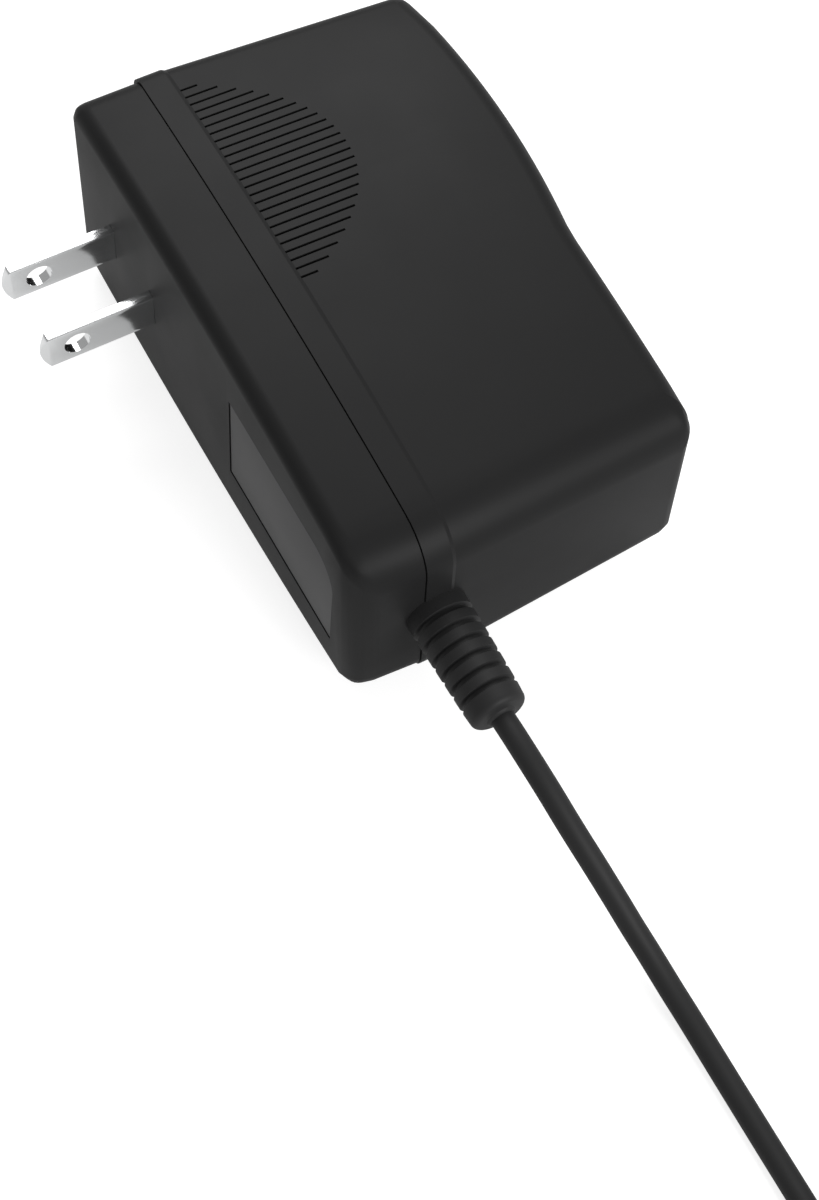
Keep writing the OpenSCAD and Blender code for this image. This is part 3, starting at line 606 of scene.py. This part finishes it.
# %% [markdown]
# The relief is a soft cone moulded onto the lead. A flange and a neck inside the housing hold it, six
# grooves let it bend in all directions, and a rounded cap ends it. Each groove's section is a few
# points of the outline, cut into the cone at a steady pitch.

# %% Strain relief
exit_y = rear_low.y
relief_len = 17.3 * MM
relief_flange_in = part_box("strain_relief")[1].y - exit_y
flange_radius = 4.6 * MM
neck_radius = 3.2 * MM
relief_base = 4.5 * MM
relief_tip = 4.15 * MM
groove_section = ((-0.5, 0), (-0.47, 0.05), (-0.41, 0.4), (-0.3, 0.6), (0, 0.63),
                  (0.3, 0.6), (0.41, 0.4), (0.47, 0.05), (0.5, 0))
cap_start = 14.5 * MM
cap_round = 1.05 * MM
relief_grooves = 6
first_groove = 1.95 * MM
relief_pitch = 2.34 * MM


def relief_radius(distance):
    """The radius of the cone at a distance from the housing."""
    return relief_base + (relief_tip - relief_base) * distance / cap_start


collar_in = 1.6 * MM
relief_outline = [(-relief_flange_in, flange_radius), (-relief_flange_in + 1.2 * MM, flange_radius),
                  (-relief_flange_in + 1.2 * MM, neck_radius), (-collar_in, neck_radius),
                  (-collar_in, 4.3 * MM), (-collar_in + 0.1 * MM, relief_base),
                  (0.6 * MM, relief_radius(0.6 * MM))]
for i in range(relief_grooves):
    centre = first_groove + relief_pitch * i
    for off, deep in groove_section:
        relief_outline.append((centre + off * MM, relief_radius(centre + off * MM) - deep * MM))
for i in range(9):
    a = math.pi / 2 * i / 8
    relief_outline.append((relief_len - 0.5 * MM - cap_round * (1 - math.sin(a)),
                           relief_tip - 0.1 * MM - cap_round * (1 - math.cos(a))))
relief_outline += [(relief_len - 0.35 * MM, 2.2 * MM), (relief_len - 0.1 * MM, 1.95 * MM),
                   (relief_len, 1.75 * MM)]
relief = turned("strain_relief_ribbed", (relief_x, exit_y, mid_z), -1, relief_outline)
print("strain relief", len(relief.data.polygons), "faces")

# %% [markdown]
# The lead is one curve with a round section. It leaves the relief, sinks to the surface under its own
# weight and runs straight on. Beyond the camera's view the rest of its length is wound in two layers:
# four and a half turns inwards, a rise, and four and a half turns outwards on top of them.

# %% Lead
lead_diameter = 3.4 * MM
lead_points = [(-6.475, -60.4, 19.3), (-6.45, -61.6, 19.28), (-6.4, -63, 19.25), (-6.25, -66, 18.9),
               (-6, -69, 18.2), (-5.65, -72, 17.1), (-5.25, -75, 15.7), (-4.75, -78, 14.1),
               (-4.15, -81, 12.3), (-3.55, -84, 10.4), (-3, -87, 8.6), (-2.5, -90, 6.9),
               (-2, -93, 5.4), (-1.6, -96, 4.1), (-1.3, -99, 3.1), (-1.05, -102, 2.4),
               (-0.9, -105, 1.95), (-0.85, -108, 1.75), (-0.85, -112, 1.7), (-0.85, -116, 1.7),
               (-0.85, -121, 1.7), (-0.85, -126, 1.75), (-0.95, -131, 2.1), (-1, -136, 2.3)]
coil_centre = (25.65, -152)
outer_turn, inner_turn = 26.65, 11.35
low_layer, high_layer = 2.3, 5.7
turns = 4.5
turn_points = 24
rise_in = 1.1


def coil_point(angle, radius, z):
    """A point of the coil in millimetres."""
    return (coil_centre[0] + radius * math.cos(angle), coil_centre[1] + radius * math.sin(angle), z)


lead_points += [(-1, -141, 2.3), (-1, -146.5, 2.3)]
count = int(turns * turn_points)
for i in range(count + 1):
    angle = math.pi + 2 * math.pi * i / turn_points
    lead_points.append(coil_point(angle, outer_turn + (inner_turn - outer_turn) * i / count, low_layer))
rise = turn_points // 2
for i in range(1, rise):
    t = i / rise
    lead_points.append(coil_point(math.pi * t, inner_turn - rise_in * math.sin(math.pi * t),
                                  low_layer + (high_layer - low_layer) * t * t * (3 - 2 * t)))
for i in range(count + 1):
    angle = math.pi + 2 * math.pi * i / turn_points
    lead_points.append(coil_point(angle, inner_turn + (outer_turn - inner_turn) * i / count, high_layer))
lead_points += [(52.3, -146, 5.7), (52.3, -140, 5.7), (52.35, -137, 5.65), (52.5, -134, 5.5),
                (52.8, -131, 5.3), (53, -128, 5.1), (53, -124.5, 5)]

lead_curve = bpy.data.curves.new("lead", "CURVE")
lead_curve.dimensions = "3D"
spline = lead_curve.splines.new("BEZIER")
spline.bezier_points.add(len(lead_points) - 1)
for knot, point in zip(spline.bezier_points, lead_points):
    knot.co = Vector(point) * MM
    knot.handle_left_type = knot.handle_right_type = "AUTO"
lead_curve.resolution_u = 4
lead_curve.bevel_depth = lead_diameter / 2
lead_curve.bevel_resolution = 5
lead_curve.use_fill_caps = True
lead = bpy.data.objects.new("lead", lead_curve)
scene.collection.objects.link(lead)
lead_steps = [Vector(p) * MM for p in lead_points]
lead_length = sum((b - a).length for a, b in zip(lead_steps, lead_steps[1:]))
print("lead", len(lead_points), "points,", round(lead_length, 3), "m")

# %% [markdown]
# A strap holds the coil. It is a block without its two ends, so only a band goes round the turns: its
# four long edges are rounded, and Solidify gives it the thickness of the tape.

# %% Coil strap
tie_low, tie_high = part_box("cord_tie")
tie_thick = 0.6 * MM
tie_round = 2.2 * MM
strap = block("coil_strap", tie_low, tie_high)
edit(strap)
pick(strap, "FACE", lambda f: abs(f.normal.x) > 0.9)
bpy.ops.mesh.delete(type="ONLY_FACE")
pick(strap, "EDGE", lambda e: is_along(e, strap, 0))
bpy.ops.mesh.bevel(offset=tie_round, segments=8)
start_clean()
band = strap.modifiers.new("tape", "SOLIDIFY")
band.thickness = tie_thick
band.offset = -1
soft_edge = strap.modifiers.new("soft edge", "BEVEL")
soft_edge.width = 0.12 * MM
soft_edge.segments = 2
soft_edge.limit_method = "ANGLE"
finish_modifiers(strap)
smooth(strap)
print("strap", len(strap.data.polygons), "faces")

# %% [markdown]
# The low-voltage plug is a barrel in a moulded grip. The grip flares from the lead, and six rings
# give the fingers a hold. The barrel is a nickelled sleeve, a black ring at its mouth and a sprung
# contact in its bore.

# %% Plug
plug_foot = Vector((53, -125, 5)) * MM
grip = [(0, 2), (0.2, 2.4), (0.6, 2.65), (4, 3.1), (7, 3.9), (8.4, 4.5), (9.2, 4.85)]
for i in range(6):
    ring_at = 10.4 + 1.5 * i
    grip += [(ring_at - 0.45, 4.97), (ring_at - 0.35, 4.9), (ring_at - 0.25, 4.62), (ring_at, 4.55),
             (ring_at + 0.25, 4.62), (ring_at + 0.35, 4.9), (ring_at + 0.45, 4.97)]
grip += [(19.4, 4.98), (20.3, 4.92), (20.9, 4.7), (21.4, 4.2), (21.5, 3.95), (22, 3.9)]
plug_grip = turned("plug_grip", plug_foot, 1, [(d * MM, r * MM) for d, r in grip])
mouth = 22 + 9.5
plug_barrel = turned("plug_barrel", plug_foot, 1, [
    (d * MM, r * MM) for d, r in ((21.9, 2.4), (21.9, 2.75), (mouth - 0.9, 2.75), (mouth - 0.8, 2.68),
                                  (mouth - 0.8, 2.4), (21.9, 2.4))], tube=True)
plug_ring = turned("plug_mouth_ring", plug_foot, 1, [
    (d * MM, r * MM) for d, r in ((21.9, 1.36), (21.9, 2.39), (mouth - 0.8, 2.39), (mouth - 0.8, 2.72),
                                  (mouth - 0.22, 2.72), (mouth, 2.5), (mouth, 1.6), (mouth - 0.2, 1.36),
                                  (21.9, 1.36))], tube=True)
plug_spring = turned("plug_spring", plug_foot, 1, [
    (d * MM, r * MM) for d, r in ((21.9, 1.06), (21.9, 1.35), (mouth - 0.35, 1.35), (mouth - 0.25, 1.28),
                                  (mouth - 0.3, 1.06), (21.9, 1.06))], tube=True)
print("plug", len(plug_grip.data.polygons), "faces")

# %% [markdown]
# Every finish is built from a few effects that several materials share, and each effect is a node
# group with named sockets. The groups read object coordinates in metres, so their patterns have a real
# size. They put out colours, heights and roughness, and the shader stays in the material.


# %% Helpers for node groups
def new_group(name, inputs, outputs):
    """An empty node group with sockets, and its input, output and coordinate nodes."""
    group = bpy.data.node_groups.new(name, "ShaderNodeTree")
    for label, kind, value in inputs:
        socket = group.interface.new_socket(name=label, in_out="INPUT", socket_type=kind)
        socket.default_value = value
    for label, kind in outputs:
        group.interface.new_socket(name=label, in_out="OUTPUT", socket_type=kind)
    source = group.nodes.new("NodeGroupInput")
    target = group.nodes.new("NodeGroupOutput")
    place_of = group.nodes.new("ShaderNodeTexCoord").outputs["Object"]
    return group, source.outputs, target.inputs, place_of


def add_noise(group, place_of, scale, detail):
    """A noise whose scale is a socket of the group."""
    noise = group.nodes.new("ShaderNodeTexNoise")
    noise.inputs["Detail"].default_value = detail
    group.links.new(place_of, noise.inputs["Vector"])
    group.links.new(scale, noise.inputs["Scale"])
    return noise.outputs["Fac"]


def add_range(group, value, low, high):
    """Spreads the middle of a noise between two sockets of the group."""
    spread = group.nodes.new("ShaderNodeMapRange")
    spread.inputs["From Min"].default_value = 0.3
    spread.inputs["From Max"].default_value = 0.7
    group.links.new(value, spread.inputs["Value"])
    group.links.new(low, spread.inputs["To Min"])
    group.links.new(high, spread.inputs["To Max"])
    return spread.outputs["Result"]


# %% [markdown]
# Mould grain is the fine matt texture that a spark-eroded mould leaves in plastic: grains of about a
# quarter of a millimetre, with a few larger swells where the wall cooled unevenly.

# %% Mould grain
grain, put, out, place_of = new_group(
    "mould_grain",
    [("Grains per metre", "NodeSocketFloat", 4000), ("Swells per metre", "NodeSocketFloat", 60),
     ("Roughness low", "NodeSocketFloat", 0.5), ("Roughness high", "NodeSocketFloat", 0.58)],
    [("Height", "NodeSocketFloat"), ("Roughness", "NodeSocketFloat")])
fine = add_noise(grain, place_of, put["Grains per metre"], 2)
swell = add_noise(grain, place_of, put["Swells per metre"], 3)
grain.links.new(fine, out["Height"])
grain.links.new(add_range(grain, swell, put["Roughness low"], put["Roughness high"]), out["Roughness"])

# %% [markdown]
# Uneven tone is a slow drift between two close colours. Without it a large plain face looks like
# paint on a screen and not like a piece of plastic or a strip of metal.

# %% Uneven tone
drift, put, out, place_of = new_group(
    "uneven_tone",
    [("Light", "NodeSocketColor", (1, 1, 1, 1)), ("Dark", "NodeSocketColor", (0, 0, 0, 1)),
     ("Patches per metre", "NodeSocketFloat", 40)],
    [("Colour", "NodeSocketColor")])
patches = add_noise(drift, place_of, put["Patches per metre"], 4)
mix = drift.nodes.new("ShaderNodeMix")
mix.data_type = "RGBA"
drift.links.new(patches, mix.inputs["Factor"])
drift.links.new(put["Dark"], mix.inputs["A"])
drift.links.new(put["Light"], mix.inputs["B"])
drift.links.new(mix.outputs["Result"], out["Colour"])

# %% [markdown]
# Drawn lines are the faint scratches that run along rolled strip. The coordinates are squeezed along
# X before they reach the noise, so its grains turn into long lines.

# %% Drawn lines
drawn, put, out, place_of = new_group(
    "drawn_lines",
    [("Lines per metre", "NodeSocketFloat", 9000), ("Roughness low", "NodeSocketFloat", 0.08),
     ("Roughness high", "NodeSocketFloat", 0.2)],
    [("Height", "NodeSocketFloat"), ("Roughness", "NodeSocketFloat")])
squeeze = drawn.nodes.new("ShaderNodeMapping")
squeeze.inputs["Scale"].default_value = (0.03, 1, 1)
drawn.links.new(place_of, squeeze.inputs["Vector"])
lines = add_noise(drawn, squeeze.outputs["Vector"], put["Lines per metre"], 3)
drawn.links.new(lines, out["Height"])
drawn.links.new(add_range(drawn, lines, put["Roughness low"], put["Roughness high"]), out["Roughness"])


# %% [markdown]
# A material joins the groups to its own Principled shader. Numbers that are the same all over a
# surface, such as the specular level, are set on the shader itself.


# %% A helper that builds a material
def finish(name, dark, light, texture, roughness, bump, patches=40, metallic=0.0, specular=0.5,
           grains=4000):
    """A Principled material whose colour, roughness and bump come from the shared groups."""
    material = bpy.data.materials.new(name)
    material.use_nodes = True
    nodes, links = material.node_tree.nodes, material.node_tree.links
    shader = nodes["Principled BSDF"]
    shader.inputs["Metallic"].default_value = metallic
    shader.inputs["Specular IOR Level"].default_value = specular
    tone = nodes.new("ShaderNodeGroup")
    tone.node_tree = drift
    tone.inputs["Dark"].default_value = (*dark, 1)
    tone.inputs["Light"].default_value = (*light, 1)
    tone.inputs["Patches per metre"].default_value = patches
    links.new(tone.outputs["Colour"], shader.inputs["Base Color"])
    surface = nodes.new("ShaderNodeGroup")
    surface.node_tree = texture
    surface.inputs[0].default_value = grains
    surface.inputs["Roughness low"].default_value = roughness[0]
    surface.inputs["Roughness high"].default_value = roughness[1]
    links.new(surface.outputs["Roughness"], shader.inputs["Roughness"])
    relief_node = nodes.new("ShaderNodeBump")
    relief_node.inputs["Strength"].default_value = 1
    relief_node.inputs["Distance"].default_value = bump
    links.new(surface.outputs["Height"], relief_node.inputs["Height"])
    links.new(relief_node.outputs["Normal"], shader.inputs["Normal"])
    return material


# %% [markdown]
# The four black plastics are close but not alike. The housing is matt, and the plate is greyer with a
# finer grain. The relief, the lead and the plug are soft vinyl, and the strap is a rough tape.

# %% Finishes that show
housing_black = finish("housing_black", (0.016, 0.016, 0.0162), (0.019, 0.019, 0.0192), grain,
                       (0.42, 0.48), 0.004 * MM, specular=0.085)
plate_grey = finish("plate_grey", (0.124, 0.124, 0.125), (0.132, 0.132, 0.133), grain,
                    (0.45, 0.5), 0.002 * MM, specular=0.09)
soft_black = finish("soft_black", (0.02, 0.02, 0.0203), (0.024, 0.024, 0.0243), grain,
                    (0.5, 0.58), 0.004 * MM, specular=0.21)
strap_black = finish("strap_black", (0.015, 0.015, 0.016), (0.022, 0.022, 0.023), grain,
                     (0.7, 0.85), 0.05 * MM, specular=0.2, grains=2500)
nickel = finish("nickel_plate", (0.85, 0.86, 0.865), (0.9, 0.91, 0.915), drawn,
                (0.1, 0.16), 0.0006 * MM, metallic=1.0, grains=9000)
spring_brass = finish("spring_brass", (0.64, 0.46, 0.2), (0.74, 0.57, 0.3), drawn,
                      (0.2, 0.3), 0.001 * MM, metallic=1.0, grains=9000)

# %% [markdown]
# The pieces inside keep their solids and get finishes of their own, because the part can be opened.
# A table gives each record slot its two tones, its texture, how rough it is, how deep its grain is in
# millimetres, and whether it is metal.

# %% Finishes inside
inside = {
    "board_laminate": ((0.36, 0.22, 0.07), (0.46, 0.3, 0.11), grain, (0.45, 0.6), 0.01, 0.0),
    "card": ((0.66, 0.62, 0.5), (0.76, 0.72, 0.6), grain, (0.75, 0.85), 0.02, 0.0),
    "component_black": ((0.022, 0.022, 0.024), (0.034, 0.034, 0.036), grain, (0.4, 0.5), 0.006, 0.0),
    "thermistor_coat": ((0.04, 0.09, 0.065), (0.06, 0.13, 0.09), grain, (0.5, 0.6), 0.012, 0.0),
    "capacitor_yellow": ((0.68, 0.48, 0.05), (0.76, 0.56, 0.07), grain, (0.25, 0.35), 0.003, 0.0),
    "ferrite": ((0.04, 0.04, 0.045), (0.065, 0.065, 0.07), grain, (0.6, 0.75), 0.015, 0.0),
    "copper_winding": ((0.42, 0.13, 0.05), (0.6, 0.22, 0.09), drawn, (0.2, 0.32), 0.03, 0.9),
    "capacitor_sleeve": ((0.015, 0.025, 0.08), (0.025, 0.035, 0.11), grain, (0.2, 0.28), 0.002, 0.0),
    "aluminium_sink": ((0.62, 0.63, 0.65), (0.72, 0.73, 0.75), drawn, (0.3, 0.42), 0.002, 1.0),
    "winding_tape": ((0.68, 0.48, 0.04), (0.78, 0.57, 0.06), grain, (0.18, 0.28), 0.002, 0.0),
    "capacitor_blue": ((0.04, 0.15, 0.44), (0.06, 0.2, 0.54), grain, (0.45, 0.55), 0.01, 0.0),
    "wire_red": ((0.4, 0.025, 0.018), (0.48, 0.035, 0.025), grain, (0.3, 0.4), 0.003, 0.0),
    "wire_black": ((0.016, 0.016, 0.016), (0.024, 0.024, 0.024), grain, (0.3, 0.4), 0.003, 0.0),
}
slot_materials = {"housing_plastic": housing_black, "plate_plastic": plate_grey,
                  "soft_plastic": soft_black, "nickel": nickel, "spring_brass": spring_brass}
for slot, (dark, light, texture, roughness, bump, metallic) in inside.items():
    slot_materials[slot] = finish(slot, dark, light, texture, roughness, bump * MM, metallic=metallic)

# %% [markdown]
# Each new piece now gets its finish, rides on the body of the part and stands for its solid. The
# solids inside stay as they are and only get their finish, which the record's slot names.

# %% Pieces, finishes and the solids that they stand for
dressed = [
    (rear, "rear_housing", "housing_plastic"),
    (cover, "front_cover", "housing_plastic"),
    (plate, "blank_plate", "plate_plastic"),
    (blades[0], "line_blade", "nickel"),
    (blades[1], "neutral_blade", "nickel"),
    (relief, "strain_relief", "soft_plastic"),
    (plug_grip, "plug_body", "soft_plastic"),
    (plug_barrel, "plug_sleeve", "nickel"),
    (plug_ring, "plug_insulator", "component_black"),
    (plug_spring, "plug_contact", "spring_brass"),
]
for piece, node, slot in dressed:
    piece.data.materials.clear()
    piece.data.materials.append(slot_materials[slot])
    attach(piece, "root")
    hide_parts(node)
strap.data.materials.clear()
strap.data.materials.append(strap_black)
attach(strap, "root")
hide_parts("cord_tie")
lead.data.materials.append(soft_black)
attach(lead, "root")
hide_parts("cord_lead", "cord_coil", "cord_tail")

slots = {part["node"]: part["material_slot"] for part in frame["record"]["subparts"]}
left = 0
for node, solid in frame["nodes"].items():
    if not solid.hide_render:
        solid.data.materials.clear()
        solid.data.materials.append(slot_materials[slots[node]])
        left += 1
print(left, "solids keep their own shape")

# %% [markdown]
# The stage is one large floor. Through Light Path the camera sees it white and mirrors see a weaker
# white. It still takes a faint shadow, because the last part of its white comes from the lamps.

# %% Floor
floor_glow = 0.8
gloss_share = 0.41
start_clean()
bpy.ops.mesh.primitive_plane_add(size=8, location=(0, 0, 0))
floor = bpy.context.object
floor.name = "floor"
floor_white = bpy.data.materials.new("floor_white")
floor_white.use_nodes = True
nodes, links = floor_white.node_tree.nodes, floor_white.node_tree.links
nodes.clear()
matt = nodes.new("ShaderNodeBsdfDiffuse")
matt.inputs["Color"].default_value = (0.5, 0.5, 0.5, 1)
glow = nodes.new("ShaderNodeEmission")
glow.inputs["Strength"].default_value = floor_glow
nothing = nodes.new("ShaderNodeEmission")
nothing.inputs["Strength"].default_value = 0
path_of = nodes.new("ShaderNodeLightPath")
camera_or_gloss = nodes.new("ShaderNodeMath")
camera_or_gloss.operation = "MULTIPLY_ADD"
camera_or_gloss.inputs[1].default_value = gloss_share
seen = nodes.new("ShaderNodeMath")
seen.operation = "ADD"
seen.use_clamp = True
either = nodes.new("ShaderNodeMixShader")
both = nodes.new("ShaderNodeAddShader")
target = nodes.new("ShaderNodeOutputMaterial")
links.new(path_of.outputs["Is Glossy Ray"], camera_or_gloss.inputs[0])
links.new(path_of.outputs["Is Camera Ray"], camera_or_gloss.inputs[2])
links.new(camera_or_gloss.outputs[0], seen.inputs[0])
links.new(path_of.outputs["Is Transmission Ray"], seen.inputs[1])
links.new(seen.outputs[0], either.inputs["Fac"])
links.new(nothing.outputs[0], either.inputs[1])
links.new(glow.outputs[0], either.inputs[2])
links.new(matt.outputs[0], both.inputs[0])
links.new(either.outputs[0], both.inputs[1])
links.new(both.outputs[0], target.inputs["Surface"])
floor.data.materials.append(floor_white)
floor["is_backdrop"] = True

# %% [markdown]
# A pale world gives the even light of a white studio. A large soft lamp behind and above the adapter
# draws the bright end of its top face, and a low one from the cord's side fills the near roundings.
# A small card right above is what the narrow upper edges of the blades mirror.

# %% Light
world = bpy.data.worlds.new("studio")
scene.world = world
world.use_nodes = True
world.node_tree.nodes["Background"].inputs["Color"].default_value = (1, 1, 1, 1)
world.node_tree.nodes["Background"].inputs["Strength"].default_value = 0.35


def soft_lamp(name, place_of_lamp, size, power):
    """A square area lamp that looks at the origin."""
    start_clean()
    bpy.ops.object.light_add(type="AREA", location=place_of_lamp)
    lamp = bpy.context.object
    lamp.name = name
    lamp.data.size = size
    lamp.data.energy = power
    lamp.rotation_euler = (Vector((0, 0, 0)) - lamp.location).to_track_quat("-Z", "Y").to_euler()
    return lamp


key = soft_lamp("key", (0.35, 0.85, 0.95), 0.8, 10.6)
fill = soft_lamp("fill", (0.3, -1.0, 0.5), 0.6, 8.5)
card = soft_lamp("card", (0.25, 0.42, 0.98), 0.36, 0.6)
print("lamps", [round(lamp.data.energy, 1) for lamp in (key, fill, card)], "W")

# %% The span of all pieces
low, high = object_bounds()
print("pieces span", [round(v / MM, 1) for v in high - low], "mm")
